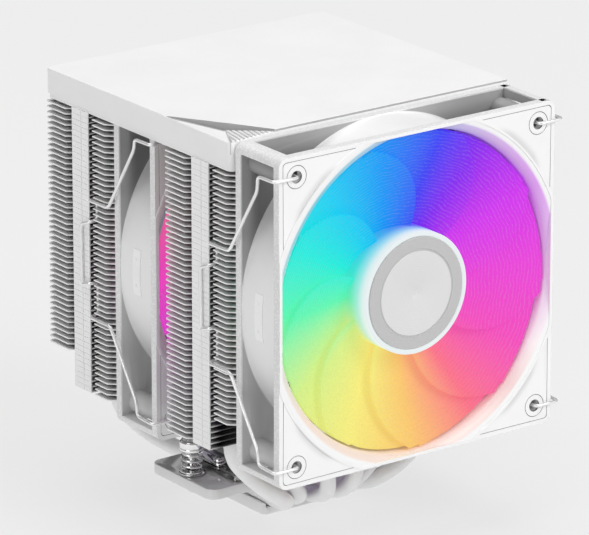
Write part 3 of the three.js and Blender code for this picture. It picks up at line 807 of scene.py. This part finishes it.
clamp = block("pipe_clamp", (-19.8, -18.5, 4.6), (19.8, 18.5, 9.7))
softened(combined(clamp, channels(), "DIFFERENCE"), 0.25)
finished(clamp, finishes["base"], "heatsink", "base_white", "base_block")

bracket_outline = rounded(-43.3, 43.3, -19, 19, 4, 8)
bracket = slab("bracket_plate", flat(bracket_outline, PLATE_LOW), at(0, 0, PLATE_TOP - PLATE_LOW))
for side in (-1, 1):
    combined(bracket, upright_cylinder("screw_way", 2, 6, 18, side * SCREW_X, 0), "DIFFERENCE")
softened(bracket, 0.45, 3)
finished(bracket, finishes["plate"], "heatsink", "base_white", "mounting_plate")

bar = slab("rail_right", flat(rounded(21.3, 31.5, -17.5, 17.5, 1.8), BAR_LOW), at(0, 0, BAR_HIGH - BAR_LOW))
slot_cut = slab("slot_cut", flat(rounded(24.4, 28.3, -14.8, 14.8, 1.6), BAR_LOW - 1), at(0, 0, 5))
combined(bar, slot_cut, "DIFFERENCE")
combined(bar, upright_cylinder("way", 1.4, 13, 19, STRAP_X, STRAP_SCREW_Y), "DIFFERENCE")
softened(bar, 0.35, 3)

strap_outline = rounded(STRAP_X - 2.3, STRAP_X + 2.3, -6.3, 12.4, 2.2, 8)
strap = slab("strap_right", flat(strap_outline, STRAP_LOW), at(0, 0, STRAP_HIGH - STRAP_LOW))
combined(strap, upright_cylinder("way", 1.4, 13, 19, STRAP_X, STRAP_SCREW_Y), "DIFFERENCE")
softened(strap, 0.2, 3)

centre = at(STRAP_X, STRAP_SCREW_Y, 0)
screw_profile = [
    (0, 14.7), (1.0, 14.7), (1.0, 17.9), (2.05, 17.9), (2.1, 18.1), (2.0, 18.7), (1.6, 19.15), (0, 19.4),
]
strap_screw = turned("strap_screw_right_turned", screw_profile, centre, "Z", 40, closed=False)
for wide in ((1.3, 0.3), (0.3, 1.3)):
    low = (STRAP_X - wide[0], STRAP_SCREW_Y - wide[1], 18.5)
    high = (STRAP_X + wide[0], STRAP_SCREW_Y + wide[1], 20)
    combined(strap_screw, block("cross", low, high), "DIFFERENCE")
softened(strap_screw, 0)

centre = at(SCREW_X, 0, 0)
collar_profile = [(1.9, 14.3), (4.8, 14.3), (4.8, 14.8), (4.5, 15.1), (4.5, 15.6), (1.9, 15.6)]
collar = softened(turned("collar_right", collar_profile, centre, "Z", 48), 0.08)

head_profile = [
    (0, 6.8), (1.1, 6.8), (1.5, 7.3), (1.5, 21.9), (2.6, 21.9), (2.6, 23), (4.2, 23), (4.5, 23.3), (4.5, 24),
    (4.35, 24.15), (4.35, 24.35), (4.5, 24.5), (4.5, 26.4), (4.0, 26.9), (3.2, 26.9), (2.7, 26.6), (0, 26.6),
]
screw = turned("sprung_screw_right", head_profile, centre, "Z", 48, closed=False)
combined(screw, upright_cylinder("socket", 2.3, 24.9, 28, SCREW_X, 0, 6), "DIFFERENCE")
softened(screw, 0.08)

coil = []
SPRING_FOOT, SPRING_LOW, SPRING_HIGH, COIL_STEPS, COIL_TURNS = 15.9, 16.4, 22.2, 90, 3.6
COIL_RADIUS, COIL_WIRE = 3.4, 0.48
for i in range(COIL_STEPS + 1):
    angle, share = i / COIL_STEPS * COIL_TURNS * WHOLE_TURN, i / COIL_STEPS
    lift = min(max((share - 0.14) / 0.72, 0), 1)
    height = SPRING_LOW + (SPRING_HIGH - SPRING_LOW) * (0.06 * share + 0.94 * lift)
    coil.append(at(SCREW_X + COIL_RADIUS * math.cos(angle), COIL_RADIUS * math.sin(angle), height))
spring = softened(tube("spring_right", coil, COIL_WIRE, sides=12), 0, angle=60)

base_pieces = (
    (bar, "rail", "dark_nickel", "dark_nickel", "crossbar"),
    (strap, "strap", "nickel", "bright_nickel", "retaining_strap"),
    (strap_screw, "cross_screw", "steel", "screw_steel", "strap_screw"),
    (collar, "collar", "steel", "screw_steel", "screw_collar"),
    (screw, "sprung_screw", "nickel", "bright_nickel", "spring_screw"),
    (spring, "spring", "nickel", "bright_nickel", "screw_spring"),
)
for side, mirrored in (("right", False), ("left", True)):
    for source, label, finish, slot_name, node in base_pieces:
        name = f"{label}_{side}" if mirrored else f"{label}_{side}_part"
        rides = f"screw_{side}" if source is screw else "heatsink"
        piece = twin(source, name, mirrored=mirrored)
        finished(piece, finishes[finish], rides, slot_name, f"{node}_{side}")
        if source is spring:
            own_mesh(piece)
for source in (bar, strap, strap_screw, collar, screw, spring):
    bpy.data.objects.remove(source)


# ---- Top cover -------------------------------------------------------------------------------
def cover_block(name, inset, low, high, corner=2.0):
    side, front, back = COVER_SIDE - inset, COVER_FRONT + inset, COVER_BACK - inset
    return slab(name, flat(rounded(-side, side, front, back, corner), low), at(0, 0, high - low))


cover = cover_block("top_shell", 0, COVER_BOTTOM, COVER_TOP)
combined(cover, cover_block("lip", 0.5, COVER_LIP, COVER_BOTTOM + 0.5), "UNION")
room = block("room", (-60.4, COVER_FRONT + 1.2, 140), (60.4, COVER_BACK - 1.2, 152.4))
combined(room, block("fan_room", (-60.4, -10.55, 140), (60.4, 16.45, 155)), "UNION")
combined(cover, room, "DIFFERENCE")

# The lowered corner of the top, cut by a prism whose floor has four flat faces.
floor_points = [
    at(*NOTCH_CORNER, 156.75), at(62.6, -57.75, 156.7), at(62.6, -53.75, 156.3),
    at(*NOTCH_FRONT, 156.3), at(*NOTCH_MIDDLE, 154.1), at(*NOTCH_SIDE, 157.05),
]
dish = drawn("dish", floor_points)
for vertex_set in ((0, 4, 5), (0, 3, 4), (0, 1, 3), (1, 2, 3)):
    ops.mesh.select_all(action="DESELECT")
    ops.object.mode_set(mode="OBJECT")
    for v in dish.data.vertices:
        spot = dish.matrix_world @ v.co
        v.select = any((spot - floor_points[k]).length < 0.01 * MM for k in vertex_set)
    ops.object.mode_set(mode="EDIT")
    ops.mesh.edge_face_add()
ops.mesh.select_all(action="SELECT")
ops.mesh.extrude_region_move(TRANSFORM_OT_translate={"value": at(0, 0, 6)})
ops.object.mode_set(mode="OBJECT")
combined(cover, outward(settle(dish)), "DIFFERENCE")
softened(cover, 0.25, 2, angle=20)
finished(cover, finishes["cover"], "heatsink", "cover_white", "top_cover")

# Slanting ribs on the front face of the lowered corner: one beam, repeated, kept inside the face.
RIBS, RIB_PITCH, RIB_SLANT = 17, 1.65, math.radians(19.8)
beam = block("beam", (-60.6, -58, 150), (-59.75, -30, 158))
ribs = modified(
    beam, "ARRAY", count=RIBS, use_relative_offset=False, use_constant_offset=True,
    constant_offset_displace=(RIB_PITCH * MM, 0, 0),
)
pick(ribs)
ops.object.mode_set(mode="EDIT")
ops.mesh.select_all(action="SELECT")
ops.transform.rotate(value=RIB_SLANT, orient_axis="Z", center_override=at(*NOTCH_MIDDLE, 154))
ops.transform.translate(value=at(1.5, 0, 0))
ops.object.mode_set(mode="OBJECT")
face_corners = [at(-60.2, -56.2, 156.62), at(-41.2, -53.9, 156.31), at(-50.0, -38.0, 154.3)]
wedge = slab("ribs_bound", [corner - at(0, 0, 0.3) for corner in face_corners], at(0, 0, 0.62))
combined(ribs, wedge, "INTERSECT")
ribs = softened(outward(joined("cover_ribs", ribs)), 0.06, 1)
finished(ribs, finishes["ribs"], "heatsink", "cover_white", "top_cover")


# ---- Fan frames ------------------------------------------------------------------------------
Y0, Z0 = FRONT_FAN
AXIS = at(0, Y0, Z0)


def fan_slab(name, points, low, high):
    """An outline round the fan's axis, from one depth behind the front face to another."""
    placed = [at(x, Y0 + low, Z0 + z) for x, z in points]
    return slab(name, placed, at(0, high - low, 0))


def fan_cylinder(name, radius, low, high, x=0.0, z=0.0, sides=96):
    nothing_selected()
    ops.mesh.primitive_cylinder_add(
        vertices=sides, radius=radius * MM, depth=(high - low) * MM,
        location=at(x, Y0 + (low + high) / 2, Z0 + z), rotation=(math.pi / 2, 0, 0),
    )
    return settle(named(name))


square = rounded(-FAN_HALF, FAN_HALF, -FAN_HALF, FAN_HALF, FAN_CORNER, 8)
body = fan_slab("frame", square, 0, FLANGE)
combined(body, fan_slab("back_flange", square, FAN_DEPTH - FLANGE, FAN_DEPTH), "UNION")
combined(body, fan_cylinder("tunnel", TUNNEL, 1, FAN_DEPTH - 1, sides=128), "UNION")
for sx in (-1, 1):
    for sz in (-1, 1):
        x = sorted((sx * FAN_HALF, sx * (FAN_HALF - POST)))
        z = sorted((sz * FAN_HALF, sz * (FAN_HALF - FAN_CORNER)))
        post = block("post", (x[0], Y0 + 0.5, Z0 + z[0]), (x[1], Y0 + FAN_DEPTH - 0.5, Z0 + z[1]))
        combined(post, fan_slab("corner", square, 0.6, FAN_DEPTH - 0.6), "INTERSECT")
        combined(body, post, "UNION")
        boss = fan_cylinder("boss", BOSS_RADIUS, 1, FAN_DEPTH - 1, sx * HOLE, sz * HOLE, 40)
        combined(body, boss, "UNION")

raised = fan_cylinder("raised", MOUTH + LIP, -0.25, 0.5, sides=128)
edge = FLAT + LIP
combined(raised, block("flats", (-edge, Y0 - 1, Z0 - edge), (edge, Y0 + 2, Z0 + edge)), "INTERSECT")
combined(body, raised, "UNION")

bell = [(0, -1), (MOUTH + 0.05, -1)]
for i in range(9):
    angle = i / 8 * math.pi / 2
    bell.append((MOUTH - (MOUTH - BORE) * math.sin(angle), 3.4 * (1 - math.cos(angle))))
bell += [(BORE, 8), (0, 8)]
mouth = turned("mouth", bell, AXIS, "Y", 128, closed=False)
combined(mouth, block("flats", (-FLAT, Y0 - 2, Z0 - FLAT), (FLAT, Y0 + 9, Z0 + FLAT)), "INTERSECT")
combined(body, mouth, "DIFFERENCE")
combined(body, fan_cylinder("bore", BORE, 6, FAN_DEPTH + 1, sides=128), "DIFFERENCE")
for sx in (-1, 1):
    for sz in (-1, 1):
        hole = fan_cylinder("hole", HOLE_RADIUS, -1, FAN_DEPTH + 1, sx * HOLE, sz * HOLE, 32)
        combined(body, hole, "DIFFERENCE")


def pad_outline(inset):
    """One pad: two straight sides that meet in a rounded corner, and the arc beside the mouth."""
    side, far = PAD - inset, PAD_ARC + inset
    start = math.degrees(math.acos(side / far))
    return arc((side - 1.5, side - 1.5), 1.5, 0, 90, 5) + arc((0, 0), far, 90 - start - 0.3, start + 0.3, 24)


# Fine grooves: the outline of each corner pad, and a ring round each screw hole.
grooves = fan_slab("grooves", pad_outline(0), -0.2, 0.3)
combined(grooves, fan_slab("pad", pad_outline(0.22), -1, 1), "DIFFERENCE")
ring_in, ring_out = BOSS_RADIUS - 0.13, BOSS_RADIUS + 0.13
ring_profile = [(ring_in, -0.2), (ring_out, -0.2), (ring_out, 0.3), (ring_in, 0.3)]
hole_ring = turned("hole_ring", ring_profile, AXIS + at(HOLE, 0, HOLE), "Y", 48)
corner_grooves = joined("corner_grooves", grooves, hole_ring)
for i in range(4):
    copy = twin(corner_grooves, "grooves_copy", turn=i * math.pi / 2, centre=AXIS)
    combined(body, copy, "DIFFERENCE")
bpy.data.objects.remove(corner_grooves)

# A raised plate on the tunnel's left wall, with an arrow cut at each end.
band = [(TUNNEL - 0.3, 10.0), (TUNNEL + 0.23, 10.0), (TUNNEL + 0.23, 14.4), (TUNNEL - 0.3, 14.4)]
arrow_plate = turned("arrow_plate", band, AXIS, "Y", 256)
combined(arrow_plate, block("plate_bound", (-62, Y0 + 9, Z0 - 8.4), (-56, Y0 + 16, Z0 + 8.6)), "INTERSECT")
for low, tip in ((6.9, 4.3), (-6.6, -4.0)):
    marks = [at(-59.62, Y0 + y, Z0 + z) for y, z in ((10.7, low), (13.7, low), (12.2, tip))]
    combined(arrow_plate, slab("arrow", marks, at(-1, 0, 0)), "DIFFERENCE")
combined(body, arrow_plate, "UNION")
softened(body, 0.16, 2, angle=40)

base_profile = [(0, 21.8), (20.5, 21.8), (20.5, 24.3), (20, 24.8), (0, 24.8)]
mount = turned("motor_base", base_profile, AXIS, "Y", 72, closed=False)
sleeve = [(3.3, 6), (4.2, 6), (4.2, 22.2), (3.3, 22.2)]
combined(mount, turned("sleeve", sleeve, AXIS, "Y", 40), "UNION")
arm = block("arm", (19.5, Y0 + 21.8, Z0 - 1.6), (59, Y0 + 24.8, Z0 + 1.6), 0.4)
for i in range(4):
    combined(mount, twin(arm, "arm_copy", turn=math.radians(45 + 90 * i), centre=AXIS), "UNION")
bpy.data.objects.remove(arm)
softened(mount, 0)


# ---- Impellers -------------------------------------------------------------------------------
ROOT_FRONT, TIP_FRONT, ROOT_BACK, TIP_BACK = 9.5, 2.7, 15.5, 6.2
ROOT_SPAN, TIP_SPAN, SWEEP, BLADE_THICKNESS, TIP_RADIUS = 0.95, 0.95, 0.5, 1.1, 57.6


def blade(name):
    """One blade: its root line is drawn, then extruded outwards ring by ring, growing and turning."""
    rings, along = 9, 12
    def ring_point(radius, share):
        grow = (radius - HUB) / (TIP_RADIUS - HUB)
        angle = SWEEP * grow * grow + (ROOT_SPAN + (TIP_SPAN - ROOT_SPAN) * grow) * share
        front = ROOT_FRONT + (TIP_FRONT - ROOT_FRONT) * grow
        back = ROOT_BACK + (TIP_BACK - ROOT_BACK) * grow
        y = front + (back - front) * share + (1 - 0.7 * grow) * math.sin(math.pi * share)
        return at(radius * math.cos(angle), Y0 + y, Z0 + radius * math.sin(angle))
    radii = [HUB - 0.6 + (TIP_RADIUS - HUB + 0.6) * i / rings for i in range(rings + 1)]
    sheet = drawn(name, [ring_point(radii[0], i / along) for i in range(along + 1)], closed=False)
    for _ in radii[1:]:
        ops.mesh.extrude_edges_move(TRANSFORM_OT_translate={"value": (0, 0, 0)})
    ops.object.mode_set(mode="OBJECT")
    settle(sheet)
    places = [ring_point(radius, i / along) for radius in radii for i in range(along + 1)]
    for vertex, place in zip(sheet.data.vertices, places):
        vertex.co = place
    sheet.data.update()
    modified(sheet, "SOLIDIFY", thickness=BLADE_THICKNESS * MM, offset=0)
    return softened(outward(sheet), 0.25, 2, angle=50)


hub_wall = [
    (0, 2.4), (HUB_RECESS, 2.4), (HUB_RECESS, 1.2), (21.1, 1.0), (21.8, 1.0), (HUB, 1.4), (HUB, 18.5),
    (21.0, 18.5), (21.0, 3.6), (2.6, 3.6), (2.6, 5.4), (1.4, 5.4), (1.4, 3.2), (0, 3.2),
]
hub = turned("hub", hub_wall, AXIS, "Y", 96, closed=False)
softened(hub, 0)
one = blade("blade")
turns = [-i / BLADES * WHOLE_TURN for i in range(BLADES)]
vanes = joined("vanes", *[twin(one, f"vane_{i}", turn=turn, centre=AXIS) for i, turn in enumerate(turns)])
bpy.data.objects.remove(one)

disc_profile = [
    (0, 1.5), (1.6, 1.35), (2.2, 1.1), (15.3, 1.1), (15.5, 1.3), (15.9, 1.3), (16.1, 1.1), (20.2, 1.1),
    (20.4, 1.3), (20.4, 2.1), (0, 2.1),
]
disc = turned("hub_disc", disc_profile, AXIS, "Y", 96, closed=False)
softened(disc, 0)


# ---- Wire clips ------------------------------------------------------------------------------
def clip_route(site, groove_y, under_cover):
    """The right-hand clip of a fan, from its upper hook down to its lower one."""
    y0, z0 = site
    face, hook = y0 - 1.05, y0 + 3.6
    inner = STACK_SIDE - 2.7
    top = 51 if under_cover else 52.6
    route = [(HOLE, hook, HOLE), (HOLE, face, HOLE)]
    if under_cover:
        route.append((57, face, top))
    route += [
        (WIRE_X, face, top), (WIRE_X, y0 + 8.6, top - 0.2), (WIRE_X, y0 + 9, 47), (WIRE_X, y0 + 25.4, 21.3),
        (WIRE_X, groove_y, 20.9), (inner, groove_y, 20.4), (inner, groove_y, 13), (WIRE_X, groove_y, 12.6),
        (WIRE_X, groove_y + 4.9, 10.8), (WIRE_X, groove_y + 4.6, -11.8), (WIRE_X, groove_y, -10.4),
        (inner, groove_y, -10.8), (inner, groove_y, -22.6), (WIRE_X, groove_y, -23.1),
        (WIRE_X, y0 + 25, -23), (WIRE_X, y0 + 9, -47), (WIRE_X, y0 + 8.4, -52.1), (WIRE_X, face, -52.6),
        (HOLE, face, -HOLE), (HOLE, hook, -HOLE),
    ]
    return [at(x, y, z0 + z) for x, y, z in route]


# ---- Both fans put together ------------------------------------------------------------------
GROOVE_MIDDLE = (GROOVE_START + PANEL_START) / 2
fans = (
    ("front", FRONT_FAN, Vector((0, 0, 0)), "front_fan", FRONT_STACK, False, 0.0),
    ("middle", MIDDLE_FAN, FAN_SHIFT, "heatsink", REAR_STACK, True, 0.43),
)
for fan_name, site, shift, body_name, stack_start, under_cover, phase in fans:
    own = fan_finishes(site, phase)
    pieces = (
        (body, "frame", own["frame"], body_name, "frame_white", (f"{fan_name}_fan_frame",)),
        (mount, "motor_base", finishes["motor"], body_name, "frame_white", (f"{fan_name}_fan_frame",)),
        (hub, "hub", own["hub"], f"{fan_name}_rotor", "lit_blades", (f"{fan_name}_impeller",)),
        (vanes, "vanes", own["blades"], f"{fan_name}_rotor", "lit_blades", (f"{fan_name}_impeller",)),
        (disc, "hub_disc", own["disc"], f"{fan_name}_rotor", "hub_grey", (f"{fan_name}_hub_cap",)),
    )
    for source, label, paint, rides, slot_name, nodes in pieces:
        finished(twin(source, f"{fan_name}_{label}", shift=shift), paint, rides, slot_name, *nodes)
    kept = (
        ("magnet_ring", finishes["ferrite"]), ("motor_shaft", finishes["steel"]),
        ("bearing", finishes["bronze"]), ("stator", own["windings"]),
        ("circuit_board", own["board"]), ("light_ring", own["diffuser"]),
    )
    for label, paint in kept:
        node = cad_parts[f"{fan_name}_{label}"]
        node.data.materials.clear()
        node.data.materials.append(paint)
    route = smooth_route(clip_route(site, stack_start + GROOVE_MIDDLE, under_cover), 1.6)
    right = softened(tube(f"{fan_name}_wire_right", route, WIRE_RADIUS), 0, angle=60)
    left = twin(right, f"{fan_name}_wire_left", mirrored=True)
    for side, clip in (("right", right), ("left", left)):
        finished(clip, finishes["wire"], f"{fan_name}_clip_{side}", "clip_wire", f"{fan_name}_clip_{side}")
for source in (body, mount, hub, vanes, disc):
    bpy.data.objects.remove(source)


# ---- Floor, light and camera -----------------------------------------------------------------
def studio_paper(start):
    """Pale paper lit from behind, so that shadows on it stay faint."""
    values = coating(rgb(0.17), rgb(0.165), 0.9, 300, 0.01, clouds=2)(start)
    values["Emission Color"], values["Emission Strength"] = rgb(0.67), 1.0
    return values


nothing_selected()
ops.mesh.primitive_plane_add(size=12, location=(0, 1.5, -0.0002))
ground = settle(named("studio_floor"))
ground.data.materials.append(material("studio_paper", studio_paper))


def softbox(name, place, size, power, aim=(0, 0, 0.08)):
    nothing_selected()
    ops.object.light_add(type="AREA", location=place)
    lamp = bpy.context.object
    lamp.name, lamp.data.shape, lamp.data.size, lamp.data.energy = name, "DISK", size, power
    lamp.rotation_euler = (Vector(place) - Vector(aim)).to_track_quat("Z", "Y").to_euler()


softbox("key", (1.0, -2.6, 2.0), 2.4, 82)
softbox("top", (-0.2, 0.4, 3.0), 3.4, 76)
softbox("left_fill", (-2.6, -0.8, 0.9), 1.8, 21)

world = bpy.data.worlds.new("studio")
bpy.context.scene.world = world
world.use_nodes = True
world.node_tree.nodes["Background"].inputs["Color"].default_value = rgb(0.04)
world.node_tree.nodes["Background"].inputs["Strength"].default_value = 1.0
bpy.context.scene.view_settings.view_transform = "Standard"

CAMERA_PLACE = Vector((-1.1088, -1.5139, 0.7145))
forward = Vector((0.56264, 0.76296, -0.31833))
right_way, up_way = Vector((0.80482, -0.59351, 0)), Vector((0.18893, 0.2562, 0.94797))
ops.object.camera_add(location=CAMERA_PLACE)
camera = bpy.context.object
camera.rotation_euler = Matrix((right_way, up_way, -forward)).transposed().to_euler()
camera.data.lens, camera.data.sensor_width, camera.data.sensor_fit = 336.62, 36, "HORIZONTAL"
camera.data.clip_start, camera.data.clip_end = 0.05, 60
bpy.context.scene.camera = camera
